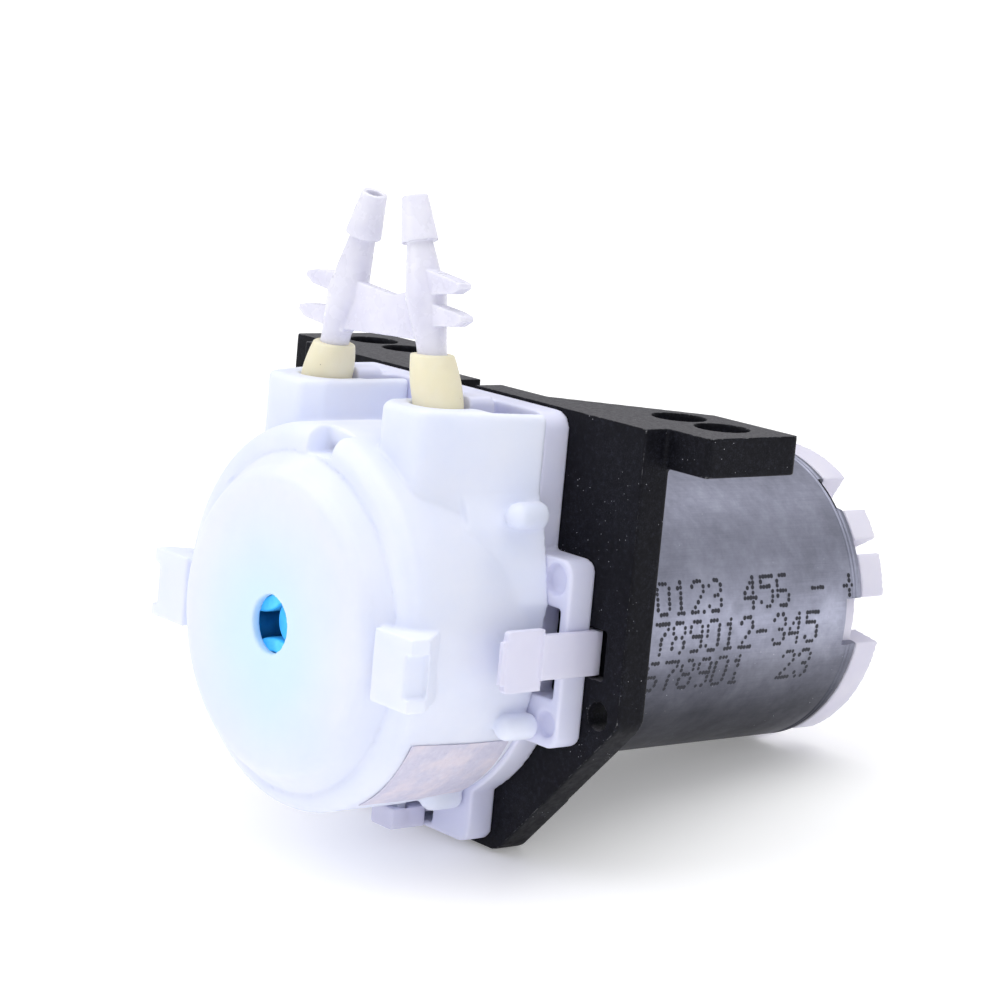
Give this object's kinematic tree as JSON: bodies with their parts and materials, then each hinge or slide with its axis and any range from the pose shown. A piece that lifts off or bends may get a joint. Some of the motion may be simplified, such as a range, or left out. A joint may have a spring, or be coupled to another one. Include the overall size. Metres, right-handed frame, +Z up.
{
  "type": "peristaltic pump",
  "caption": "Small snap-together peristaltic pump head with two upright tube ports and a joined pair of hose barbs, on an eared bracket with a round DC motor behind it.",
  "frame": {"origin": "middle of the line of the two outer ear holes, on the ears' top face", "axes": "+Z up out of the ears' top face, towards the hose barbs; +Y from the pump head back to the motor, along the pump axis; +X across the bracket, to the right seen from the pump head"},
  "size_m": [0.1074, 0.111, 0.1046],
  "materials": {
    "black_plastic": "moulded, lightly textured",
    "white_plastic": "milky, slightly translucent moulding",
    "clip_plastic": "satin moulding",
    "label_film": "satin film, blank",
    "tube_elastomer": "satin extruded elastomer",
    "clear_plastic": "translucent natural moulding",
    "carrier_plastic": "satin moulding",
    "blue_plastic": "semi-gloss moulding",
    "steel": "ground steel",
    "zinc_steel": "zinc plated, drawn steel can",
    "end_cap_plastic": "satin moulding",
    "sintered_bronze": "sintered, oil filled",
    "ferrite": "sintered ferrite",
    "spring_steel": "rolled",
    "lamination_steel": "punched laminations",
    "copper": "enamelled copper",
    "carbon": "pressed carbon",
    "brass": "tinned brass"
  },
  "bodies": {
    "root": {"brush_card": "carrier_plastic", "brush_lower": "carbon", "brush_springs": "spring_steel", "brush_upper": "carbon", "carrier_washer": "carrier_plastic", "front_bearing": "sintered_bronze", "front_cover": "white_plastic", "label_sticker": "label_film", "magnet_clip": "spring_steel", "magnet_left": "ferrite", "magnet_right": "ferrite", "motor_can": "zinc_steel", "motor_end_cap": "end_cap_plastic", "motor_screws": "steel", "motor_terminals": "brass", "mounting_bracket": "black_plastic", "pump_tube": "tube_elastomer", "rear_bearing": "sintered_bronze", "rear_housing": "white_plastic", "twin_barb_connector": "clear_plastic"},
    "latch_right": {"latch_right": "clip_plastic"},
    "latch_left": {"latch_left": "clip_plastic"},
    "latch_bottom": {"latch_bottom": "clip_plastic"},
    "drive_shaft": {"motor_shaft": "steel", "drive_sleeve": "blue_plastic", "armature_core": "lamination_steel", "armature_windings": "copper", "commutator": "copper", "shaft_washers": "carrier_plastic"},
    "rotor": {"carrier_front": "blue_plastic", "carrier_rear": "blue_plastic", "roller_pin_1": "steel", "roller_pin_2": "steel", "roller_pin_3": "steel"},
    "roller_1": {"roller_1": "blue_plastic"},
    "roller_2": {"roller_2": "blue_plastic"},
    "roller_3": {"roller_3": "blue_plastic"}
  },
  "joints": [
    {"name": "motor_spin", "type": "hinge", "parent": "root", "child": "drive_shaft", "pos_m": [0, -0.015, -0.0379], "axis": [0, 1, 0], "continuous": true},
    {"name": "rotor_spin", "type": "hinge", "parent": "root", "child": "rotor", "pos_m": [0, -0.035, -0.0379], "axis": [0, 1, 0], "continuous": true},
    {"name": "roller_1_spin", "type": "hinge", "parent": "rotor", "child": "roller_1", "pos_m": [-0.00891, -0.035, -0.02899], "axis": [0, 1, 0], "continuous": true},
    {"name": "roller_2_spin", "type": "hinge", "parent": "rotor", "child": "roller_2", "pos_m": [-0.00326, -0.035, -0.05007], "axis": [0, 1, 0], "continuous": true},
    {"name": "roller_3_spin", "type": "hinge", "parent": "rotor", "child": "roller_3", "pos_m": [0.01217, -0.035, -0.03464], "axis": [0, 1, 0], "continuous": true},
    {"name": "latch_right_flex", "type": "hinge", "parent": "root", "child": "latch_right", "pos_m": [0.0343, -0.0269, -0.0371], "axis": [0, 0, -1], "range_deg": [0, 6], "stiffness_Nm_per_rad": 0.4, "springref_deg": -2.86},
    {"name": "latch_left_flex", "type": "hinge", "parent": "root", "child": "latch_left", "pos_m": [-0.0343, -0.0269, -0.0371], "axis": [0, 0, 1], "range_deg": [0, 6], "stiffness_Nm_per_rad": 0.4, "springref_deg": -2.86},
    {"name": "latch_bottom_flex", "type": "hinge", "parent": "root", "child": "latch_bottom", "pos_m": [0.0033, -0.0242, -0.0705], "axis": [-1, 0, 0], "range_deg": [0, 5.5], "stiffness_Nm_per_rad": 0.4, "springref_deg": -2.86}
  ],
  "couplings": [
    {"joint": "rotor_spin", "follows": "motor_spin", "ratio": 0.14343},
    {"joint": "roller_1_spin", "follows": "motor_spin", "ratio": -0.34648},
    {"joint": "roller_2_spin", "follows": "motor_spin", "ratio": -0.34648},
    {"joint": "roller_3_spin", "follows": "motor_spin", "ratio": -0.34648}
  ]
}
